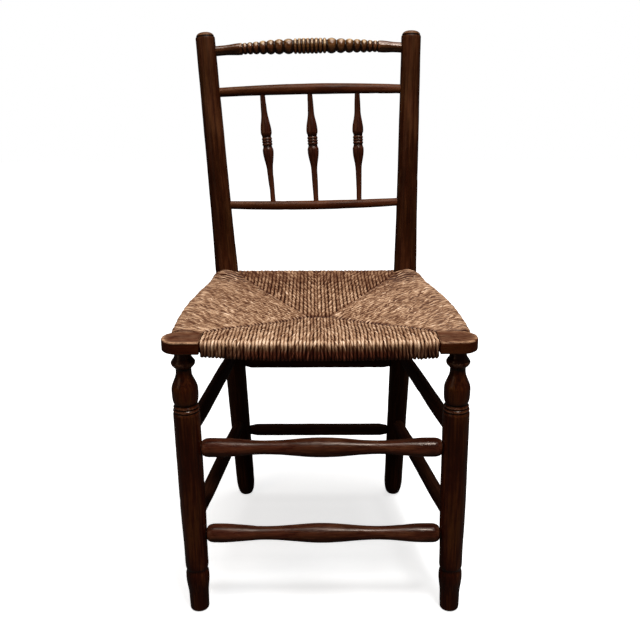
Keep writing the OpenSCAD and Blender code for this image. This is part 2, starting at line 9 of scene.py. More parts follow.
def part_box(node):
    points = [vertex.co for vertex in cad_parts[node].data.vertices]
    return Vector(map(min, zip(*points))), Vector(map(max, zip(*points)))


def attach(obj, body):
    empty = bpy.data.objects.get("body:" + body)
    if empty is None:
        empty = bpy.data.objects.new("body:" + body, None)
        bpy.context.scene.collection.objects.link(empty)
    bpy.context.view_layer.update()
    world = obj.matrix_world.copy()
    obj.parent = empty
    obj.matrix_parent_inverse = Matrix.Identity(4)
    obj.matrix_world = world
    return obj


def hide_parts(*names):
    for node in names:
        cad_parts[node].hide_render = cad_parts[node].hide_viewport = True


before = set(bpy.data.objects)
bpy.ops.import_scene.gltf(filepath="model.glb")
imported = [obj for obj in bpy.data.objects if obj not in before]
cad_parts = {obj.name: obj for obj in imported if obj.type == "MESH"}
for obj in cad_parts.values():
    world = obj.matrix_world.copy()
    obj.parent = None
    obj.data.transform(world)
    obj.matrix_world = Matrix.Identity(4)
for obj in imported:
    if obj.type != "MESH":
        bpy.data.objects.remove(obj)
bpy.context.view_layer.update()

MM = 0.001
LEFT = -1
RIGHT = 1
UNEVEN = 0.12 * MM

# ---- places taken from the frame, in metres ----
FRONT_RAIL_LOW, FRONT_RAIL_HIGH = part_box("front_seat_rail")
RUSH_LOW, RUSH_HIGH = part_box("rush_seat")
SEAT_Z = FRONT_RAIL_HIGH.z
LOBE_R = (FRONT_RAIL_HIGH.y - FRONT_RAIL_LOW.y) / 2
LEG_Y = (FRONT_RAIL_LOW.y + FRONT_RAIL_HIGH.y) / 2
RAIL_X = (FRONT_RAIL_LOW.x + FRONT_RAIL_HIGH.x) / 2
LEG_X = FRONT_RAIL_HIGH.x - RAIL_X - LOBE_R
LOBE_IN = 28 * MM

# ---- back posts, in metres ----
BEND_HALF = 159 * MM
BEND_LEAN = -9 * MM
POST_R = 20 * MM
POST_TOP_R = 16.5 * MM
POST_FOOT_R = 16.8 * MM
POST_PAD_R = 9 * MM
POST_FOOT_H = 30 * MM
POST_STEP = 3 * MM
BEND_SOFT = 14 * MM
DOME_H = 7 * MM
DOME_RIM = 2 * MM
DOME_INSET = 1.3 * MM
DOME_SINK = 0.4 * MM
CREASE_WIDTH = 1.7 * MM

# ---- corner blocks of the front rail ----
# The edge of a block from its underside up, in millimetres: how far each ring lies inside the outline,
# its height, and how proud it stands, from 0 to 1, which paints it pale: wear and painted highlight
# along its edges, and a little painted top light on its flat top.
LOBE_EDGE = [
    (22, 0, 0), (17, 0, 0), (11, 0, 0), (6, 0, 0), (3.2, 0, 0.1), (1.8, 0.1, 0.3), (0.8, 0.5, 0.5),
    (0.2, 1.2, 0.3), (0, 2.4, 0), (0, 6, 0), (0, 11, 0), (0.1, 15, 0.1), (0.4, 16.2, 0.6),
    (0.9, 16.9, 1), (1.7, 17.3, 1), (2.8, 17.5, 0.9), (5, 17.5, 0.45), (10, 17.4, 0.3),
    (16, 17.35, 0.28), (22, 17.3, 0.28),
]
LOBE_EDGE_H = 17.5
LOBE_AROUND = 72
LOBE_STRAIGHT = 8
BAR_HALF_Y = 15 * MM

# ---- how rings are found among the corner points of a CAD node, in metres and counts ----
END_DEPTH = 2.4 * MM
RING_ALONG = 0.15 * MM
RING_OUTWARD = 0.25 * MM
RING_POINTS = 12
AXIS_SLICE = 0.5 * MM
AXIS_POINTS = 24
RAIL_SIDES = 20

# ---- how relief is read from a turned outline: against the same outline smoothed ----
RELIEF_STEP = 0.5 * MM
RELIEF_REACH = 16
RELIEF_SPREAD = 7
RELIEF_FULL = 0.7 * MM


# ---------------------------------------------------------------- meshes

def add_piece(name, verts, faces, slot, replaced, attributes):
    """A smooth mesh in the shared frame that rides on the chair and stands for the CAD nodes named.
    attributes are numbers or vectors kept at each corner for its material."""
    mesh = bpy.data.meshes.new(name)
    mesh.from_pydata(np.asarray(verts).tolist(), [], faces)
    mesh.polygons.foreach_set("use_smooth", np.ones(len(mesh.polygons), bool))
    for key, values in attributes.items():
        values = np.asarray(values, np.float32)
        if values.ndim == 1:
            mesh.attributes.new(key, "FLOAT", "POINT").data.foreach_set("value", values)
        else:
            mesh.attributes.new(key, "FLOAT_VECTOR", "POINT").data.foreach_set("vector", values.ravel())
    mesh.update()
    mesh.materials.append(finish(slot))
    obj = bpy.data.objects.new(name, mesh)
    bpy.context.scene.collection.objects.link(obj)
    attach(obj, "root")
    if replaced:
        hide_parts(*replaced)
    return obj


def unit(v):
    """Vectors scaled to a length of 1."""
    v = np.asarray(v, float)
    return v / np.linalg.norm(v, axis=-1, keepdims=True)


def tube_faces(rings, sides, first=0):
    """Quads between rings, and one polygon at each end. first is the index of the first corner."""
    a = (np.arange(rings - 1)[:, None] * sides + np.arange(sides)).ravel() + first
    b = (np.arange(rings - 1)[:, None] * sides + (np.arange(sides) + 1) % sides).ravel() + first
    walls = np.stack([a, a + sides, b + sides, b], 1).tolist()
    last = first + (rings - 1) * sides
    caps = [list(range(first, first + sides)), list(range(last + sides - 1, last - 1, -1))]
    return walls + caps


def smooth_noise(rng, count, knots):
    """A smooth random line of that many values, between about -1 and 1."""
    values = rng.uniform(-1, 1, int(knots) + 5)
    t = np.linspace(1, len(values) - 3.001, count)
    i = t.astype(int)
    f = t - i
    p0, p1, p2, p3 = values[i - 1], values[i], values[i + 1], values[i + 2]
    return 0.5 * (2 * p1 + (p2 - p0) * f + (2 * p0 - 5 * p1 + 4 * p2 - p3) * f ** 2
                  + (3 * p1 - p0 - 3 * p2 + p3) * f ** 3)


def closed_noise(rng, count, knots):
    """A smooth random line whose end meets its start."""
    values = smooth_noise(rng, count + 1, knots)
    return (values - np.linspace(0, 1, count + 1) * (values[-1] - values[0]))[:-1]


# ---------------------------------------------------------------- turned wood

def node_points(node):
    """The CAD node's own corner points, each once."""
    points = np.array([v.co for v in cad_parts[node].data.vertices], float)
    return np.unique(points.round(6), axis=0)


def end_centre(points, axis, end, depth=END_DEPTH):
    """Middle of the flat end of a turned piece, at the low end (-1) or the high end (1) of an axis.
    depth takes in the whole of an end that is tilted."""
    along = points[:, axis] * end
    near = points[along > along.max() - depth]
    return (near.min(axis=0) + near.max(axis=0)) / 2


def true_axis(points, a, b):
    """The axis of a leg whose rounded foot is cut level: the line a-b moved onto the middles of its
    rings, leaving out the ones that a mortise spoils."""
    d = unit(b - a)
    s = (points - a) @ d
    apart = points - a - s[:, None] * d
    place = np.round(s / AXIS_SLICE).astype(int)
    rings = [place == k for k in np.unique(place) if (place == k).sum() >= AXIS_POINTS]
    at = np.array([s[m].mean() for m in rings])
    middle = np.array([(apart[m].min(axis=0) + apart[m].max(axis=0)) / 2 for m in rings])
    kept = np.ones(len(at), bool)
    for _ in range(6):
        fit = np.polyfit(at[kept], middle[kept], 1)
        off = np.linalg.norm(middle - (at[:, None] * fit[0] + fit[1]), axis=1)
        kept = off <= np.quantile(off, 0.6)
    return a + fit[1], b + fit[1] + fit[0] * np.linalg.norm(b - a)


def ring_profile(node, a, b):
    """Distance along a-b and radius of each full ring of corner points about the line a-b."""
    points = node_points(node)
    d = unit(b - a)
    s = (points - a) @ d
    r = np.linalg.norm(points - a - s[:, None] * d, axis=1)
    rings, spare = [], np.ones(len(s), bool)
    for i in np.argsort(s):
        if spare[i]:
            ring = spare & (np.abs(s - s[i]) < RING_ALONG) & (np.abs(r - r[i]) < RING_OUTWARD)
            if ring.sum() >= RING_POINTS:
                rings.append((s[ring].mean(), r[ring].mean()))
                spare &= ~ring
    rings = np.array(sorted(rings))
    return rings[:, 0], rings[:, 1]


def lathe(name, node, slot, centres, radii, rng, sides=44, oval=0.008, dents=26, across=(0, 1, 0),
          shading_and_wear=0, handled=0):
    """A turned piece: rings of the given radii along the centres, a little out of round and dented.
    An offset for each ring adds to its relief, where more paints it paler and less darker: painted
    light and shade along the piece. A second offset does the same from the underside to the top:
    painted top light and shade underneath, with the wear of hands on top."""
    rings = len(centres)
    tangent = unit(np.gradient(centres, axis=0))
    side = unit(np.cross(tangent, across))
    up = np.cross(side, tangent)
    step = np.linalg.norm(np.diff(centres, axis=0), axis=1)
    s = np.concatenate([[0], np.cumsum(step)])
    angle = np.arange(sides) * 2 * math.pi / sides
    r = np.repeat(radii[:, None], sides, 1)
    turn = rng.uniform(0, math.pi) + 0.8 * smooth_noise(rng, rings, s[-1] / 0.09)[:, None]
    r = r * (1 + oval * np.cos(2 * (angle - turn)))
    r = r + UNEVEN * smooth_noise(rng, rings, s[-1] / 0.02)[:, None]
    for _ in range(dents):
        at_s, at_a = rng.uniform(0, s[-1]), rng.uniform(0, 2 * math.pi)
        size, depth = rng.uniform(1.5, 5) * MM, rng.uniform(0.1, 0.45) * MM
        gap = (angle - at_a + math.pi) % (2 * math.pi) - math.pi
        reach = ((s[:, None] - at_s) / (1.6 * size)) ** 2 + (gap * radii[:, None] / size) ** 2
        r = r - depth * np.exp(-reach)
    ring_x = r * np.cos(angle)
    ring_y = r * np.sin(angle)
    verts = centres[:, None] + side[:, None] * ring_x[..., None] + up[:, None] * ring_y[..., None]
    even = np.linspace(0, s[-1], max(int(s[-1] / RELIEF_STEP), 8))
    fine = np.interp(even, s, radii)
    width = np.arange(-RELIEF_REACH, RELIEF_REACH + 1)
    blur = np.exp(-(width / RELIEF_SPREAD) ** 2)
    soft = np.convolve(np.pad(fine, RELIEF_REACH, "edge"), blur / blur.sum(), "valid")
    relief = np.clip(np.interp(s, even, fine - soft) / RELIEF_FULL, -1, 1) + shading_and_wear
    # facing is how far each corner faces up; the second offset scales it into painted top light and shade
    # underneath, with hand wear on top.
    facing = side[:, None, 2] * np.cos(angle) + up[:, None, 2] * np.sin(angle)
    local = np.stack([ring_x, ring_y, np.repeat(s[:, None], sides, 1)], -1)
    attributes = {
        "local": local.reshape(-1, 3),
        "relief": (relief[:, None] + handled * facing).ravel(),
    }
    return add_piece(name, verts.reshape(-1, 3), tube_faces(rings, sides), slot, [node], attributes)


def line(a, b, s):
    """Points at the distances s along the line a-b."""
    return a + np.asarray(s)[:, None] * unit(b - a)


def turned_straight(node, axis, slot, rng, step=2 * MM, depth=END_DEPTH, ends=0, level_foot=False,
                    **options):
    """The turned piece along one straight axis, with the radii of the CAD node's own rings. ends is
    how dark its two ends are painted, as shade where they meet the legs."""
    points = node_points(node)
    a, b = end_centre(points, axis, -1, depth), end_centre(points, axis, 1, depth)
    if level_foot:
        a, b = true_axis(points, a, b)
    at, radius = ring_profile(node, a, b)
    full = np.linalg.norm(b - a)
    even = np.arange(0, full, step)
    even = even[np.abs(even[:, None] - at).min(axis=1) > 0.6 * MM]
    s = np.union1d(even, at)
    s = s[(s >= 0) & (s <= full)]
    across = (0, 1, 0) if axis != 1 else (0, 0, 1)
    # Painted shade at both ends, where the piece meets the legs.
    dark = -ends * np.exp(-(np.minimum(s, full - s) / (36 * MM)) ** 2)
    radii = np.interp(s, at, radius)
    return lathe(node, node, slot, line(a, b, s), radii, rng, across=across, shading_and_wear=dark, **options)


def bowed_rings(node):
    """Middle and radius of each whole ring of a rail that runs across the chair. Where two rings
    share a place, the deeper one counts."""
    points = node_points(node)
    index, counts = np.unique(points[:, 0].round(5), return_inverse=True, return_counts=True)[1:]
    rings = []
    for k in np.nonzero((counts == RAIL_SIDES) | (counts == 2 * RAIL_SIDES))[0]:
        ring = points[index.ravel() == k]
        middle = ring.mean(axis=0)
        far = np.sort(np.linalg.norm(ring - middle, axis=1))
        rings.append([*middle, far[:RAIL_SIDES].mean()])
    return np.array(rings)


def bowed_line(rings, x):
    """Centres at the places x on the smooth curve through the middles of the rings."""
    curve = [np.polynomial.Polynomial.fit(rings[:, 0], rings[:, k], 2)(x) for k in (1, 2)]
    return np.stack([x, *curve], 1)


def bowed_rail(node, slot, rng, **options):
    """A plain turned rail that runs across the chair in a slight bow."""
    rings = bowed_rings(node)
    x = np.arange(rings[0, 0], rings[-1, 0], 3 * MM)
    radii = np.interp(x, rings[:, 0], rings[:, 3])
    return lathe(node, node, slot, bowed_line(rings, x), radii, rng, **options)


def crest_rail(rng):
    """The crest: between each pair of grooves in the CAD outline, one full round bead."""
    rings = bowed_rings("crest_rail")
    x = np.arange(rings[0, 0], rings[-1, 0], 0.55 * MM)
    radius = rings[:, 3]
    radii = np.interp(x, rings[:, 0], radius)
    low = [i for i in range(1, len(radius) - 1) if radius[i] < radius[i - 1] and radius[i] <= radius[i + 1]]
    for i, j in zip(low, low[1:]):
        top = radius[i:j + 1].max()
        inside = (x >= rings[i, 0]) & (x <= rings[j, 0])
        t = (x[inside] - rings[i, 0]) / (rings[j, 0] - rings[i, 0])
        floor = min(radius[i], radius[j]) - 0.7 * MM
        wear = 1 + 0.02 * rng.uniform(-1, 1)
        radii[inside] = floor + (top * wear - floor) * np.sin(math.pi * t) ** 0.7
    # The beads are painted pale on top and dark underneath: painted top light and shade, with hand wear on
    # top.
    return lathe("crest_rail", "crest_rail", "crest_wood", bowed_line(rings, x), radii, rng, sides=48,
                 oval=0.012, handled=0.9)


def back_post(side, name, rng):
    """One post: straight from the floor to the seat, softly bent there, and tapered up to its dome."""
    points = node_points(name)
    foot = end_centre(points, 2, -1) * (1, 1, 0)
    crown = points[points[:, 2] > points[:, 2].max() - 0.3 * MM].mean(axis=0)
    bend = np.array([side * BEND_HALF + BEND_LEAN, foot[1], SEAT_Z])
    low_len = np.linalg.norm(bend - foot)
    high_len = np.linalg.norm(crown - bend)
    rim = high_len - DOME_H
    turn = np.linspace(0, 1, 9)
    foot_s = POST_FOOT_H * (1 - np.cos(math.pi / 2 * turn))
    foot_r = POST_PAD_R + (POST_FOOT_R - POST_PAD_R) * np.sin(math.pi / 2 * turn)
    low_s = np.arange(POST_FOOT_H + 2 * MM, low_len, POST_STEP)
    low_r = np.interp(low_s, [POST_FOOT_H, low_len], [POST_FOOT_R, POST_R])
    high_s = np.arange(0, rim - 2 * DOME_RIM, POST_STEP)
    high_r = POST_TOP_R + (POST_R - POST_TOP_R) * (1 - high_s / rim) ** 1.8
    dome_t = np.linspace(0, 1, 14)
    dome_s = rim - DOME_SINK + (DOME_H + DOME_SINK) * np.sin(math.pi / 2 * dome_t)
    dome_r = (POST_TOP_R - DOME_INSET) * np.cos(math.radians(84) * dome_t) ** 0.8
    dome_s = np.concatenate([rim + np.array([-2.6, -1.6, -0.9, -0.6]) * MM, dome_s])
    dome_r = np.concatenate([POST_TOP_R - np.array([0, 0.3, 0.9, 1.7]) * MM, dome_r])
    centres = np.vstack([
        line(foot, bend, np.concatenate([foot_s, low_s])),
        line(bend, crown, np.concatenate([high_s, dome_s])),
    ])
    s_all = np.concatenate([foot_s, low_s, low_len + high_s, low_len + dome_s])
    near = np.exp(-((s_all - low_len) / BEND_SOFT) ** 2)[:, None]
    for _ in range(3):
        middle = (np.roll(centres, 1, 0) + np.roll(centres, -1, 0)) / 2
        centres[1:-1] += (near * (middle - centres))[1:-1]
    radii = np.concatenate([foot_r, low_r, high_r, dome_r])
    from_rim = s_all - (low_len + rim)
    # Painted light on the dome above its rim and painted shade in the crease under it.
    crease = np.exp(-((from_rim + 0.3 * MM) / CREASE_WIDTH) ** 2)
    shading_and_wear = 1.25 * np.clip(from_rim / (3 * MM), 0, 1) - 2.2 * crease
    return lathe(name, name, "post_wood", centres, radii, rng, sides=52, oval=0.01, dents=60,
                 shading_and_wear=shading_and_wear)


def front_rail(rng):
    """The front rail: two rounded ends of solid wood, pale along their edges with wear and painted
    highlight, and the bar between them.
    """
    low, high = FRONT_RAIL_LOW.z, FRONT_RAIL_HIGH.z
    thick = high - low
    around, straight = LOBE_AROUND, LOBE_STRAIGHT
    arc = np.linspace(-math.pi / 2, math.pi / 2, around - 2 * straight)
    inward = np.linspace(0, -LOBE_IN, straight + 1)
    verts, faces, relief = [], [], []
    for side in (LEFT, RIGHT):
        first = len(verts)
        for inset, lift, proud in LOBE_EDGE:
            ring_r = LOBE_R - inset * MM
            dent = 0.35 * MM * closed_noise(rng, around, 22) * proud * (inset < 4)
            x = np.concatenate([ring_r * np.cos(arc), inward[1:], inward[:0:-1]])
            y = np.concatenate([ring_r * np.sin(arc), np.full(straight, ring_r), np.full(straight, -ring_r)])
            uneven = UNEVEN * closed_noise(rng, around, 12) * (lift > 8)
            z = low + lift * MM * thick / (LOBE_EDGE_H * MM) + uneven
            x = x - dent * np.concatenate([np.cos(arc), np.zeros(2 * straight)])
            y = y - dent * np.sign(y)
            verts += np.stack([RAIL_X + side * (LEG_X + x), LEG_Y + y, np.minimum(z, high)], 1).tolist()
            # How proud each ring stands paints it pale: wear and painted highlight on the edges, painted top
            # light on top.
            relief += [proud] * around
        ring_faces = tube_faces(len(LOBE_EDGE), around, first)
        faces += ring_faces if side == LEFT else [f[::-1] for f in ring_faces]
    bar_low, bar_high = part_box("side_seat_rail_left")[0].z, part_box("side_seat_rail_left")[1].z
    half_x = LEG_X - LOBE_R / 2
    sections = np.linspace(-half_x, half_x, 12)
    corners = [(-BAR_HALF_Y, bar_low), (BAR_HALF_Y, bar_low), (BAR_HALF_Y, bar_high), (-BAR_HALF_Y, bar_high)]
    faces += tube_faces(len(sections), len(corners), len(verts))
    verts += [[RAIL_X + x, LEG_Y + y, z] for x in sections for y, z in corners]
    relief += [0] * len(sections) * len(corners)
    verts = np.array(verts)
    local = np.stack([verts[:, 1] - LEG_Y, verts[:, 2] - low, verts[:, 0]], 1)
    attributes = {"local": local, "relief": relief}
    return add_piece("front_seat_rail", verts, faces, "seat_frame_wood", ["front_seat_rail"], attributes)


def hidden_rail(node, axis):
    """A seat rail that the rush covers: the CAD shape, with its grain along the rail."""
    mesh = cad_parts[node].data
    verts = np.array([v.co for v in mesh.vertices], float)
    order = [k for k in range(3) if k != axis] + [axis]
    attributes = {"local": verts[:, order], "relief": np.zeros(len(verts))}
    faces = [list(p.vertices) for p in mesh.polygons]
    obj = add_piece(node, verts, faces, "seat_frame_wood", [node], attributes)
    obj.data.set_sharp_from_angle(angle=math.radians(35))
    return obj


# ---------------------------------------------------------------- rush seat (worked in millimetres)

# x is measured from the middle of the chair and y backwards from the front leg axes. The rush fills
# the space between FRONT_FACE and BACK_FACE. Its seams run from the four corners to the two ends of the
# ridge. The strands on a side rail lie between SIDE_FRONT and SIDE_BACK, and part at SIDE_SPLIT into
# those that end at the front seam and those that end at the back seam. SKEW moves the back of the seat
# sideways, and TWIST is the length of one turn of a strand.
SEAT_TOP = RUSH_HIGH.z / MM
SEAT_UNDER = RUSH_LOW.z / MM
FRONT_FACE = -23.5
BACK_FACE = 361
SIDE_FRONT = 28
SIDE_BACK = 324
SIDE_START = 25
SIDE_RUN = 303
SIDE_SHAPE = {LEFT: (210, 26, 44), RIGHT: (213.5, 31, 48)}
FRONT_HALF = 165
FRONT_CORNER = (162, 22)
RIDGE_Y = 119
RIDGE_X = {LEFT: -18, RIGHT: 16}
BACK_CORNER_X = {LEFT: -141, RIGHT: 137}
BACK_CORNER_Y = 335
FRONT_COUNT = 29
BACK_COUNT = 20
FRONT_RIDGE_COUNT = 7
BACK_RIDGE_COUNT = 6
SIDE_SPLIT = 245
STRAND_R = 2.9
STRAND_SIDES = 9
STRAND_GRAIN_R = 2.6
STEP_TOP = 2.4
STEP_UNDER = 5.0
TWIST = 48
DISH = 9
DISH_FRONT = 18
DISH_BACK = 332
SKEW = -5
SKEW_RUN = 310


def placed(points):
    """Seat points, given from the middle of the front leg axes, in the shared frame. The back of the
    seat leans to one side with the posts."""
    lean = SKEW * np.clip((points[:, 1] - SIDE_START) / SKEW_RUN, 0, 1.1)
    shifted = points + np.stack([lean, 0 * lean, 0 * lean], 1)
    return shifted * MM + np.array([RAIL_X, LEG_Y, 0])


def seat_half_width(y, side):
    """Half width of the seat at the distance y behind the front leg axes. The right side is fuller."""
    t = np.clip((y - SIDE_START) / SIDE_RUN, 0, 1)
    front, narrowing, bulge = SIDE_SHAPE[side]
    return front - narrowing * t + bulge * t * (1 - t)


def front_bow(x):
    """1 in the middle of the front rail, falling to 0 at its corner blocks."""
    return np.clip(1 - (x / FRONT_HALF) ** 2, 0, 1)


def seat_top(x, y):
    """Height of the tops of the strands: dished to the ridge, full over the rails and before the posts."""
    from_front = np.clip((y - DISH_FRONT) / (RIDGE_Y - DISH_FRONT), 0, 1)
    from_back = np.clip((DISH_BACK - y) / (DISH_BACK - RIDGE_Y), 0, 1)
    from_side = np.clip((190 - np.abs(x)) / 150, 0, 1)
    dish = DISH * np.sin(math.pi / 2 * from_front) * np.sin(math.pi / 2 * from_back) ** 1.2
    dish = dish * np.sin(math.pi / 2 * from_side)
    swell = 12 * np.exp(-((np.abs(x + 2) - 160) / 22) ** 2 - ((y - 322) / 20) ** 2)
    roll = 4.8 * np.clip((y - 300) / 50, 0, 1) ** 2
    slack = 2.2 * front_bow(x) * np.clip((30 - y) / 40, 0, 1)
    return SEAT_TOP - dish + swell + roll - slack


def strand_line(u_end, bend):
    """A strand's section: from its seam end out over the rail and back under it to the seam.
    Gives the distance inward, and the height as a share from the underside (0) to the top (1)."""
    top = np.arange(u_end, bend, -STEP_TOP)
    angle = np.radians(np.linspace(90, -90, 15))
    square = np.where(angle > 0, 0.72, 0.5)
    wrap_u = bend * (1 - np.abs(np.cos(angle)) ** square)
    wrap_h = 0.5 + 0.5 * np.sign(np.sin(angle)) * np.abs(np.sin(angle)) ** square
    low = np.arange(bend + STEP_UNDER, u_end, STEP_UNDER)
    u = np.concatenate([top, wrap_u, low, [u_end]])
    share = np.concatenate([np.ones(len(top)), wrap_h, np.zeros(len(low) + 1)])
    return u, share


class Weave:
    """Collects strands of rush into one mesh."""

    def __init__(self, rng):
        self.rng = rng
        self.verts = []
        self.faces = []
        self.local = []
        self.tone = []
        self.crest = []
        self.count = 0

    def strand(self, centres, width, height, rail, hand, phase, shade):
        """One twisted strand. rail is the direction along the rail that it wraps, and hand the
        direction of its twist, which starts at phase. shade darkens it where it dives into a seam."""
        rng = self.rng
        rings = len(centres)
        tangent = unit(np.gradient(centres, axis=0))
        out = unit(np.cross(rail, tangent))
        across = np.cross(tangent, out)
        s = np.concatenate([[0], np.cumsum(np.linalg.norm(np.diff(centres, axis=0), axis=1))])
        angle = np.arange(STRAND_SIDES) * 2 * math.pi / STRAND_SIDES
        twist = 2 * math.pi * s / TWIST + phase + 0.7 * smooth_noise(rng, rings, s[-1] / 14)
        spin = angle - hand * twist[:, None]
        lobes = 1 + 0.06 * np.cos(2 * spin) + 0.12 * np.cos(3 * spin)
        lump = 1 + 0.09 * smooth_noise(rng, rings, s[-1] / 9)
        w = (width * lump)[:, None] * lobes * np.cos(angle)
        h = (height * lump)[:, None] * lobes * np.sin(angle)
        verts = centres[:, None] + across[:, None] * w[..., None] + out[:, None] * h[..., None]
        self.faces += tube_faces(rings, STRAND_SIDES, self.count)
        self.count += rings * STRAND_SIDES
        self.verts.append(verts.reshape(-1, 3))
        along = np.repeat((s + rng.uniform(0, 4000))[:, None], STRAND_SIDES, 1)
        local = np.stack([np.cos(spin) * STRAND_GRAIN_R, np.sin(spin) * STRAND_GRAIN_R, along], -1)
        self.local.append(local.reshape(-1, 3))
        self.tone.append(np.full(rings * STRAND_SIDES, rng.uniform(0, 1)))
        # Paler where the strand faces out and darker on its sides: painted light on top and painted shade
        # between strands, with more painted shade at its seam end.
        self.crest.append((np.sin(angle)[None] * lobes * lump[:, None] - shade[:, None]).ravel())

    def piece(self, name, replaced=()):
        """All the strands collected, as one piece."""
        verts = np.vstack(self.verts)
        attributes = {
            "local": np.vstack(self.local) * MM,
            "tone": np.concatenate(self.tone),
            "crest": np.concatenate(self.crest),
            "wear_and_light": seat_wear_and_light(verts),
        }
        return add_piece(name, placed(verts), self.faces, "rush", replaced, attributes)


def seat_wear_and_light(points):
    """Where the rush is painted pale (towards 1) and dark (0 and below): painted highlight with wear
    along the front bend, painted shade with grime on the faces below the top, paler towards the front
    and darker over the back.
    """
    x, y, z = points.T
    # Painted highlight, with wear, along the top of the front bend.
    front_bend = np.exp(-((y + 18) / 4.5) ** 2) * (z > SEAT_TOP - 6)
    outward = np.clip((np.abs(x) - 90) / 60, 0, 1)
    # Painted shade, with grime, on the faces below the top of the seat, less towards the sides.
    face = np.clip((seat_top(x, y) - z - 3.5) / 11, 0, 1) * (1 - 0.45 * outward)
    back = np.clip((y - 200) / 150, 0, 1) * (np.abs(x) < 140)
    front = 0.13 * np.clip((70 - y) / 60, 0, 1) * (np.abs(x) < FRONT_HALF)
    return np.clip(0.55 + front + 0.3 * front_bend - face - 0.4 * back, -0.4, 1)


def strand_heights(x, y, share, dip):
    """Heights of a strand's centre line. dip is how far it dives at its seam end."""
    top = seat_top(x, y) - STRAND_R - dip
    right = np.clip((x - 60) / 80, 0, 1)
    low = SEAT_UNDER + STRAND_R + 2.3 - 2.2 * right - 6 * front_bow(x) + 0.7 * dip
    return low + (top - low) * share


def seam_dip(distance, reach, depth):
    """How far a strand dives at that distance from its seam end."""
    return depth * np.clip(1 - distance / reach, 0, 1) ** 2


def front_strands(rng):
    """The strands that wrap the front rail, up to the side seams and the ridge between them."""
    weave = Weave(rng)
    xs = []
    for side in (LEFT, RIGHT):
        pitch = (FRONT_CORNER[0] - side * RIDGE_X[side]) / FRONT_COUNT
        for k in range(FRONT_COUNT):
            t = (k + 0.5) / FRONT_COUNT
            xs.append((side * (FRONT_CORNER[0] - pitch * (k + 0.5)),
                       FRONT_CORNER[1] + t * (RIDGE_Y - FRONT_CORNER[1]), pitch))
    pitch = (RIDGE_X[RIGHT] - RIDGE_X[LEFT]) / FRONT_RIDGE_COUNT
    xs += [(RIDGE_X[LEFT] + pitch * (k + 0.5), RIDGE_Y - 1, pitch) for k in range(FRONT_RIDGE_COUNT)]
    for x0, y_end, pitch in sorted(xs):
        u, share = strand_line(y_end - FRONT_FACE - STRAND_R + rng.uniform(0, 2), 7)
        y = FRONT_FACE + STRAND_R + u
        x = x0 + 0.45 * smooth_noise(rng, len(u), 7)
        z = strand_heights(x, y, share, seam_dip(u[0] - u, 9, 3.4))
        width = np.full(len(u), pitch * 0.54)
        hand = LEFT if x0 < 0 else RIGHT
        shade = 0.6 * np.exp(-((u[0] - u) / 4) ** 2)
        centres, height = np.stack([x, y, z], 1), np.full(len(u), STRAND_R)
        weave.strand(centres, width, height, (-1, 0, 0), hand, rng.uniform(0, 6), shade)
    return weave.piece("rush_front", ["rush_seat"])


def back_strands(rng):
    """The strands that wrap the back rail. They lie closer together at the back edge."""
    weave = Weave(rng)
    xs = []
    for side in (LEFT, RIGHT):
        reach = side * (BACK_CORNER_X[side] - RIDGE_X[side])
        for k in range(BACK_COUNT):
            t = (k + 0.5) / BACK_COUNT
            xs.append((BACK_CORNER_X[side] - side * reach * t,
                       BACK_CORNER_Y + t * (RIDGE_Y - BACK_CORNER_Y), reach / BACK_COUNT))
    pitch = (RIDGE_X[RIGHT] - RIDGE_X[LEFT]) / BACK_RIDGE_COUNT
    xs += [(RIDGE_X[LEFT] + pitch * (k + 0.5), RIDGE_Y + 1, pitch) for k in range(BACK_RIDGE_COUNT)]
    for x0, y_end, pitch in sorted(xs):
        u, share = strand_line(BACK_FACE - STRAND_R - y_end + rng.uniform(0, 2), 9)
        y = BACK_FACE - STRAND_R - u
        x = x0 + 0.5 * smooth_noise(rng, len(u), 7)
        z = strand_heights(x, y, share, seam_dip(u[0] - u, 10, 4.6))
        width = pitch * (0.54 + 0.2 * np.clip((y - 300) / 40, 0, 1))
        hand = RIGHT if x0 < 0 else LEFT
        shade = 0.8 * np.exp(-((u[0] - u) / 6) ** 2)
        centres, height = np.stack([x, y, z], 1), np.full(len(u), STRAND_R)
        weave.strand(centres, width, height, (1, 0, 0), hand, rng.uniform(0, 6), shade)
    return weave.piece("rush_back")


def side_route(side, k):
    """Where side strand k leaves the rail (its y there) and where it ends at the seam (x and y).
    The strands to the front corner come first. k may lie between two strands."""
    t = np.clip(k / FRONT_COUNT, 0, 1)
    if k > FRONT_COUNT:
        t = (FRONT_COUNT + BACK_COUNT - k) / BACK_COUNT
        y0 = SIDE_BACK + t * (SIDE_SPLIT - SIDE_BACK)
        corner = (BACK_CORNER_X[side], BACK_CORNER_Y)
    else:
        y0 = SIDE_FRONT + t * (SIDE_SPLIT - SIDE_FRONT)
        corner = (side * FRONT_CORNER[0], FRONT_CORNER[1])
    return y0, corner[0] + t * (RIDGE_X[side] - corner[0]), corner[1] + t * (RIDGE_Y - corner[1])


def side_path(side, k, x):
    """The y of side strand k at x: square off the rail, then slanting to the front on its way in."""
    y0, seam_x, seam_y = side_route(side, k)
    outer = seat_half_width(y0, side) - STRAND_R
    s = np.clip(((outer - side * x) / (outer - side * seam_x) - 0.1) / 0.9, 0, 1.2)
    return y0 + (seam_y - y0) * (0.75 * s ** 1.15 + 0.25 * s ** 4)


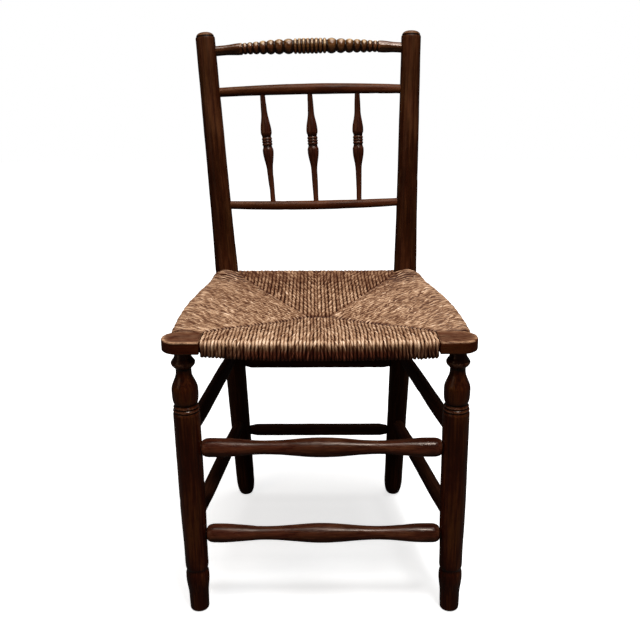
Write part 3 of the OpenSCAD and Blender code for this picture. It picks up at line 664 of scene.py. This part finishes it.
def side_strands(side, name, rng):
    """The strands that wrap one side rail, out to its two seams. Their twists lie nearly in step."""
    weave = Weave(rng)
    for k in np.arange(FRONT_COUNT + BACK_COUNT) + 0.5:
        y0, seam_x, seam_y = side_route(side, k)
        outer = seat_half_width(y0, side) - STRAND_R
        u_end = outer - side * seam_x + 2.4
        u, share = strand_line(u_end, 9)
        x = side * (outer - u)
        y = side_path(side, k, x) + 0.5 * smooth_noise(rng, len(u), 7)
        pitch = side_path(side, k + 0.5, x) - side_path(side, k - 0.5, x)
        lift = 0.9 * np.exp(-((u_end - u - 7) / 5) ** 2)
        z = strand_heights(x, y, share, seam_dip(u_end - u, 6, 5) - lift)
        slope = np.gradient(y, x)
        width = np.clip(pitch * 0.56 / np.sqrt(1 + slope ** 2), 1.6, 4.2)
        phase = 2 * math.pi * k * 2.8 / TWIST + rng.uniform(-1.1, 1.1)
        height = np.full(len(u), STRAND_R)
        shade = 0.4 * np.exp(-((u_end - u) / 3) ** 2)
        weave.strand(np.stack([x, y, z], 1), width, height, (0, -side, 0), side, phase, shade)
    return weave.piece(name)


def filling(rng):
    """The stuffing between the upper and the lower strands, painted in the darkest rush tone as shade
    where they part.
    """
    xs = np.linspace(-1, 1, 33)
    ys = np.linspace(FRONT_CORNER[1] - 2, BACK_CORNER_Y - 6, 33)
    half = np.minimum(seat_half_width(ys, LEFT) - 34, 150)
    x = xs[None] * half[:, None]
    y = np.repeat(ys[:, None], len(xs), 1)
    rim = np.clip(6 * (1 - np.abs(xs[None])), 0, 1) * np.clip((ys[:, None] - ys[0]) / 10, 0, 1)
    rim = rim * np.clip((ys[-1] - ys[:, None]) / 10, 0, 1)
    top = seat_top(x, y) - 2.3 * STRAND_R + 0.4 * rng.uniform(-1, 1, x.shape)
    low = SEAT_UNDER + 2.3 * STRAND_R
    middle = (top + low) / 2
    upper = np.stack([x, y, middle + (top - middle) * rim], -1).reshape(-1, 3)
    under = np.stack([x, y, middle + (low - middle) * rim], -1).reshape(-1, 3)
    rows, cols = x.shape
    a = (np.arange(rows - 1)[:, None] * cols + np.arange(cols - 1)).ravel()
    quads = np.stack([a, a + 1, a + cols + 1, a + cols], 1)
    border = np.ones((rows, cols), bool)
    border[1:-1, 1:-1] = False
    edge = np.nonzero(border.ravel())[0]
    index = np.arange(rows * cols) + rows * cols
    index[edge] = edge
    faces = quads.tolist() + index[quads[:, ::-1]].tolist()
    verts = np.vstack([upper, under])
    used = np.unique(np.array(faces))
    renumber = np.zeros(len(verts), int)
    renumber[used] = np.arange(len(used))
    faces = [[int(renumber[v]) for v in f] for f in faces]
    verts = placed(verts[used])
    flat = np.zeros(len(verts))
    # A crest of -1 paints the stuffing darkest, as painted shade.
    attributes = {"local": verts, "tone": flat, "crest": flat - 1, "wear_and_light": flat}
    return add_piece("rush_filling", verts, faces, "rush", (), attributes)


# ---------------------------------------------------------------- materials

class Shader:
    """A small helper that adds nodes to a material and joins them. Each method gives the socket that
    its node puts out, and takes a socket or a fixed value for each input."""

    def __init__(self, name):
        self.material = bpy.data.materials.new(name)
        self.material.use_nodes = True
        self.nodes = self.material.node_tree.nodes
        self.links = self.material.node_tree.links
        self.bsdf = self.nodes["Principled BSDF"]

    def add(self, kind, inputs=None, **settings):
        """A new node, with its inputs and settings. This one gives the node itself."""
        node = self.nodes.new("ShaderNode" + kind)
        for key, value in settings.items():
            setattr(node, key, value)
        for key, value in (inputs or {}).items():
            self.put(node.inputs[key], value)
        return node

    def put(self, socket, value):
        """Joins an input to another socket, or sets it to a fixed value."""
        if isinstance(value, bpy.types.NodeSocket):
            self.links.new(value, socket)
        else:
            socket.default_value = value

    def attribute(self, name, output="Fac"):
        return self.add("Attribute", attribute_name=name).outputs[output]

    def math(self, operation, a, b, clamp=False):
        return self.add("Math", {0: a, 1: b}, operation=operation, use_clamp=clamp).outputs[0]

    def scaled(self, vector, factors, offset=(0, 0, 0)):
        return self.add("Mapping", {"Vector": vector, "Scale": factors, "Location": offset}).outputs[0]

    def noise(self, vector, scale, detail, rough=0.55, distortion=0.0):
        inputs = {"Vector": vector, "Scale": scale, "Detail": detail, "Roughness": rough}
        inputs["Distortion"] = distortion
        return self.add("TexNoise", inputs).outputs["Fac"]

    def ramp(self, value, stops):
        node = self.add("ValToRGB", {"Fac": value})
        marks = node.color_ramp.elements
        while len(marks) < len(stops):
            marks.new(0.5)
        for mark, (place, colour) in zip(marks, stops):
            mark.position = place
            mark.color = colour
        return node.outputs["Color"]

    def mix(self, share, a, b, blend="MIX"):
        """Colours a and b mixed. The node's sockets 6, 7 and 2 are the ones for colours."""
        node = self.add("Mix", data_type="RGBA", blend_type=blend)
        self.put(node.inputs["Factor"], share)
        self.put(node.inputs[6], a)
        self.put(node.inputs[7], b)
        return node.outputs[2]

    def range(self, value, low, high, to_low=0.0, to_high=1.0):
        inputs = {"Value": value, "From Min": low, "From Max": high, "To Min": to_low, "To Max": to_high}
        return self.add("MapRange", inputs).outputs[0]

    def bump(self, height, distance, strength, normal=None):
        inputs = {"Height": height, "Distance": distance, "Strength": strength}
        if normal is not None:
            inputs["Normal"] = normal
        return self.add("Bump", inputs).outputs[0]


def srgb(r, g, b):
    """A colour given as 0 to 255 display values, in the linear values that a shader takes."""
    def linear(v):
        v = v / 255
        return v / 12.92 if v <= 0.04045 else ((v + 0.055) / 1.055) ** 2.4
    return (linear(r), linear(g), linear(b), 1)


# Each wood: its seed, its dark, middle, light and pale tones, the pale one for wear and painted highlight,
# how much of the pale tone it takes, its roughness, its specular level, and for two of them the relief
# at which hollows darken (wax, and painted shade underneath) and at which edges turn pale (wear and
# painted highlight).
WOODS = {
    "post_wood": (1, [(26, 7, 2), (50, 20, 7), (90, 51, 28), (128, 94, 64)], 0.5, 0.32, 0.1),
    # On the legs' rings and the crest's beads the pale tone is painted highlight as well as wear.
    "leg_wood": (2, [(22, 4, 0), (58, 18, 5), (108, 56, 24), (164, 118, 92)], 0.34, 0.18, 0.26,
                 (-0.25, -0.9), (0.3, 1.0)),
    "crest_wood": (3, [(44, 16, 5), (90, 48, 22), (132, 86, 52), (244, 208, 160)], 0.95, 0.18, 0.5,
                   (0.45, -0.3), (0.85, 1.7)),
    "rail_wood": (4, [(38, 12, 5), (74, 34, 16), (110, 62, 38), (140, 98, 62)], 0.45, 0.34, 0.1),
    "spindle_wood": (5, [(24, 4, 1), (48, 17, 8), (84, 40, 24), (132, 88, 62)], 0.45, 0.22, 0.26),
    "front_stretcher_wood": (6, [(20, 5, 2), (68, 26, 14), (120, 66, 42), (144, 98, 72)], 0.5, 0.22, 0.32),
    "stretcher_wood": (7, [(24, 8, 3), (50, 23, 13), (78, 44, 28), (84, 58, 42)], 0.3, 0.5, 0.04),
    "seat_frame_wood": (8, [(32, 7, 2), (68, 24, 8), (90, 48, 24), (196, 152, 116)], 0.85, 0.36, 0.12),
}
YELLOW_CAST = (0.9, 1.25, 1.0, 1)
# The darkest tone, laid on low relief: wax in the hollows, and painted shade on undersides, ends and creases.
WAX_AND_SHADE = srgb(6, 1, 0)
WOOD_SHEEN = (1.0, 0.84, 0.72, 1)
RUSH_SHEEN = (1.0, 0.88, 0.74, 1)
# Tint for painted shade and grime on the rush.
GRIME_AND_SHADE = srgb(210, 118, 92)
RUSH_TONES = [
    (0.0, srgb(56, 20, 7)), (0.3, srgb(90, 53, 32)), (0.52, srgb(143, 105, 77)),
    (0.74, srgb(198, 160, 127)), (1.0, srgb(246, 214, 184)),
]


def wood(name, seed, tones, wear, roughness, shine, hollow=(-0.05, -0.6), proud=(0.12, 0.9)):
    """Old stained and waxed wood: soft streaks, fine grain and open pores along the piece, pale with
    wear and painted highlight on what stands proud and on top, and dark with wax in the hollows and
    painted shade underneath."""
    m = Shader(name)
    dark, mid, light, wear_and_light = [srgb(*tone) for tone in tones]
    place = m.attribute("local", "Vector")
    relief = m.attribute("relief")
    offset = (seed * 0.37, seed * 0.53, seed * 0.71)
    broad = m.noise(m.scaled(place, (85, 85, 6), offset), 1, 4, 0.6, 0.4)
    streak = m.noise(m.scaled(place, (430, 430, 15), offset), 1, 4, 0.65)
    blotch = m.noise(m.scaled(place, (32, 32, 11), offset), 1, 4, 0.6)
    figure = m.math("ADD", m.math("MULTIPLY", broad, 0.45), m.math("MULTIPLY", streak, 0.3))
    figure = m.math("ADD", figure, m.math("MULTIPLY", blotch, 0.35))
    colour = m.ramp(m.range(figure, 0.39, 0.72), [(0.0, dark), (0.45, mid), (1.0, light)])
    faded = m.range(m.noise(m.scaled(place, (55, 55, 8), (3.0, seed, 1.0)), 1, 3), 0.42, 0.66)
    colour = m.mix(m.math("MULTIPLY", faded, 0.7), colour, m.mix(1.0, colour, YELLOW_CAST, "MULTIPLY"))
    pores = m.range(m.noise(m.scaled(place, (1900, 1900, 75), offset), 1, 2, 0.5), 0.6, 0.72)
    colour = m.mix(m.math("MULTIPLY", pores, 0.5), colour, dark)
    rub = m.noise(m.scaled(place, (210, 210, 70), offset), 1, 4, 0.7)
    # Pale where the relief stands proud: wear, and painted highlight where the relief carries painted top
    # light.
    edge = m.math("MULTIPLY", m.range(relief, *proud), m.range(rub, 0.36, 0.62))
    patch = m.range(m.noise(m.scaled(place, (30, 30, 9), (seed, 2.0, 1.0)), 1, 5, 0.7), 0.63, 0.75)
    pale = m.math("MULTIPLY", m.math("ADD", edge, m.math("MULTIPLY", patch, 0.25)), wear, clamp=True)
    colour = m.mix(pale, colour, wear_and_light)
    # Dark on low relief: wax in the hollows, and painted shade where the relief carries it.
    deep = m.range(relief, *hollow)
    colour = m.mix(m.math("MULTIPLY", deep, 0.9), colour, WAX_AND_SHADE)
    m.put(m.bsdf.inputs["Base Color"], colour)
    rough = m.range(blotch, 0.3, 0.7, roughness - 0.05, roughness + 0.1)
    m.put(m.bsdf.inputs["Roughness"], m.math("ADD", rough, m.math("MULTIPLY", pale, 0.1)))
    m.bsdf.inputs["Specular IOR Level"].default_value = shine
    m.bsdf.inputs["Specular Tint"].default_value = WOOD_SHEEN
    height = m.math("SUBTRACT", m.math("MULTIPLY", streak, 0.6), pores)
    normal = m.bump(height, 0.2 * MM, 0.3)
    m.put(m.bsdf.inputs["Normal"], m.bump(rub, 0.5 * MM, 0.2, normal))
    return m.material


def rush():
    """Twisted rush: each strand is a few leaves wide, some pale and some brown, painted light on top
    and with painted shade on its sides and in its folds.
    """
    m = Shader("rush")
    place = m.attribute("local", "Vector")
    tone = m.attribute("tone")
    crest = m.attribute("crest")
    wear_and_light_mask = m.attribute("wear_and_light")
    # Wear, painted highlight and painted shade over the seat, kept above a floor.
    shading_and_wear = m.math("MAXIMUM", wear_and_light_mask, 0.16)
    fibre = m.noise(m.scaled(place, (900, 900, 45)), 1, 4, 0.65)
    leaf = m.noise(m.scaled(place, (560, 560, 20)), 1, 2, 0.5)
    stain = m.noise(m.add("TexCoord").outputs["Object"], 26, 4, 0.6)
    # Painted light on the tops of strands and painted shade between them.
    level = m.math("MULTIPLY", m.range(crest, 0.35, 0.95), 0.7)
    for value, share in ((fibre, 0.75), (leaf, 1.3), (tone, 0.12), (stain, 0.3), (shading_and_wear, 0.5)):
        level = m.math("ADD", level, m.math("MULTIPLY", value, share))
    level = m.range(level, 1.53, 2.63)
    colour = m.ramp(level, RUSH_TONES)
    # Painted shade, with grime, where the seat falls below its top.
    grime_and_shade = m.range(wear_and_light_mask, 0.1, -0.3, 0.0, 0.75)
    colour = m.mix(grime_and_shade, colour, m.mix(1.0, colour, GRIME_AND_SHADE, "MULTIPLY"))
    m.put(m.bsdf.inputs["Base Color"], colour)
    m.put(m.bsdf.inputs["Roughness"], m.range(fibre, 0.3, 0.7, 0.42, 0.62))
    m.bsdf.inputs["Specular IOR Level"].default_value = 0.3
    m.bsdf.inputs["Specular Tint"].default_value = RUSH_SHEEN
    m.put(m.bsdf.inputs["Normal"], m.bump(fibre, 0.5 * MM, 0.5))
    return m.material


FINISHES = {}


def finish(slot):
    """The material of a slot, made when a piece first asks for it."""
    if slot not in FINISHES:
        FINISHES[slot] = rush() if slot == "rush" else wood(slot, *WOODS[slot])
    return FINISHES[slot]


# ---------------------------------------------------------------- build

def build_chair():
    """Every piece of the chair. Each has its own random numbers, from its own seed."""
    random = np.random.default_rng
    back_post(LEFT, "back_post_left", random(11))
    back_post(RIGHT, "back_post_right", random(12))
    for k, name in enumerate(("front_leg_left", "front_leg_right")):
        turned_straight(name, 2, "leg_wood", random(20 + k), 1.5 * MM, 0.4 * MM, level_foot=True,
                        sides=48, dents=40)
    crest_rail(random(30))
    for k, name in enumerate(("middle_rail", "lower_rail")):
        # Painted top light and shade underneath, with hand wear on top.
        bowed_rail(name, "rail_wood", random(31 + k), sides=36, handled=0.5)
    for k, name in enumerate(("spindle_left", "spindle_centre", "spindle_right")):
        turned_straight(name, 2, "spindle_wood", random(40 + k), 1 * MM, sides=32)
    for k, name in enumerate(("front_stretcher_upper", "front_stretcher_lower")):
        # Painted shade at both ends where they meet the legs, and painted top light and shade underneath.
        turned_straight(name, 0, "front_stretcher_wood", random(50 + k), sides=40, ends=0.55, handled=0.3)
    for k, name in enumerate(("upper_left", "upper_right", "lower_left", "lower_right")):
        turned_straight("side_stretcher_" + name, 1, "stretcher_wood", random(60 + k), 3 * MM, sides=32)
    for k, name in enumerate(("back_stretcher_upper", "back_stretcher_lower")):
        turned_straight(name, 0, "stretcher_wood", random(70 + k), 3 * MM, sides=32)
    front_rail(random(75))
    for name, axis in (("side_seat_rail_left", 1), ("side_seat_rail_right", 1), ("back_seat_rail", 0)):
        hidden_rail(name, axis)
    front_strands(random(80))
    back_strands(random(81))
    side_strands(LEFT, "rush_left", random(82))
    side_strands(RIGHT, "rush_right", random(83))
    filling(random(84))


# ---------------------------------------------------------------- studio

def plain_world():
    """White where the camera sees it, and a faint warm light on the chair."""
    world = bpy.data.worlds.new("studio")
    bpy.context.scene.world = world
    world.use_nodes = True
    nodes, links = world.node_tree.nodes, world.node_tree.links
    nodes.clear()
    path = nodes.new("ShaderNodeLightPath")
    seen = nodes.new("ShaderNodeBackground")
    seen.inputs["Color"].default_value = (1, 1, 1, 1)
    soft = nodes.new("ShaderNodeBackground")
    soft.inputs["Color"].default_value = (1, 0.95, 0.9, 1)
    soft.inputs["Strength"].default_value = 0.07
    mix = nodes.new("ShaderNodeMixShader")
    out = nodes.new("ShaderNodeOutputWorld")
    links.new(path.outputs["Is Camera Ray"], mix.inputs[0])
    links.new(soft.outputs[0], mix.inputs[1])
    links.new(seen.outputs[0], mix.inputs[2])
    links.new(mix.outputs[0], out.inputs[0])


FLOOR_HALF = 6.0
FLOOR_Z = -0.5 * MM


def floor():
    """A pale floor that keeps the chair's shadow and fades to white further out."""
    mesh = bpy.data.meshes.new("floor")
    half = FLOOR_HALF
    corners = [(-half, -half, 0), (half, -half, 0), (half, half, 0), (-half, half, 0)]
    mesh.from_pydata(corners, [], [(0, 1, 2, 3)])
    obj = bpy.data.objects.new("floor", mesh)
    obj.location.z = FLOOR_Z
    bpy.context.scene.collection.objects.link(obj)
    m = Shader("pale_floor")
    path = m.add("LightPath")
    seen = path.outputs["Is Camera Ray"]
    m.put(m.bsdf.inputs["Base Color"], m.mix(seen, (0.08, 0.075, 0.07, 1), (0.9, 0.9, 0.9, 1)))
    m.bsdf.inputs["Roughness"].default_value = 1
    m.bsdf.inputs["Specular IOR Level"].default_value = 0
    m.bsdf.inputs["Emission Color"].default_value = (1, 1, 1, 1)
    place = m.add("TexCoord").outputs["Object"]
    far = m.add("VectorMath", {0: place}, operation="LENGTH").outputs["Value"]
    m.put(m.bsdf.inputs["Emission Strength"], m.math("MULTIPLY", seen, m.range(far, 0.6, 1.8, 0.72, 1.0)))
    mesh.materials.append(m.material)


def lamp(name, place, target, size, power, colour=(1, 1, 1)):
    """A soft area lamp that faces its target: places and sizes in metres, power in watts."""
    light = bpy.data.lights.new(name, "AREA")
    light.shape = "RECTANGLE"
    light.size, light.size_y = size
    light.energy = power
    light.color = colour
    obj = bpy.data.objects.new(name, light)
    obj.location = place
    obj.rotation_euler = (Vector(target) - Vector(place)).to_track_quat("-Z", "Y").to_euler()
    bpy.context.scene.collection.objects.link(obj)


CAMERA_AT = (6.96 * MM, -1213.27 * MM, 786.05 * MM)
CAMERA_PITCH = math.radians(17.643)
CAMERA_YAW = math.radians(-0.395)
CAMERA_ROLL = math.radians(-0.292)
CAMERA_LENS = 44.05


def camera():
    """The camera, with the place, turn and lens that were fitted to the photograph."""
    data = bpy.data.cameras.new("camera")
    data.sensor_width = 36
    data.lens = CAMERA_LENS
    data.clip_end = 50
    obj = bpy.data.objects.new("camera", data)
    bpy.context.scene.collection.objects.link(obj)
    forward = Vector((math.sin(CAMERA_YAW) * math.cos(CAMERA_PITCH),
                      math.cos(CAMERA_YAW) * math.cos(CAMERA_PITCH), -math.sin(CAMERA_PITCH)))
    flat = Vector((math.cos(CAMERA_YAW), -math.sin(CAMERA_YAW), 0))
    rise = flat.cross(forward)
    right = flat * math.cos(CAMERA_ROLL) + rise * math.sin(CAMERA_ROLL)
    up = rise * math.cos(CAMERA_ROLL) - flat * math.sin(CAMERA_ROLL)
    turn = Matrix((right, up, -forward)).transposed().to_4x4()
    obj.matrix_world = Matrix.Translation(CAMERA_AT) @ turn
    bpy.context.scene.camera = obj


build_chair()
plain_world()
floor()
lamp("overhead", (0.1, -0.1, 2.5), (0, 0, 0.4), (1.6, 1.2), 44)
lamp("key", (0.45, -1.1, 2.5), (0, 0, 0.5), (0.5, 0.5), 27)
lamp("fill", (-1.6, -1.2, 1.2), (0, 0, 0.5), (0.8, 1.2), 3, (1.0, 0.76, 0.56))
camera()
bpy.context.scene.view_settings.view_transform = "Standard"
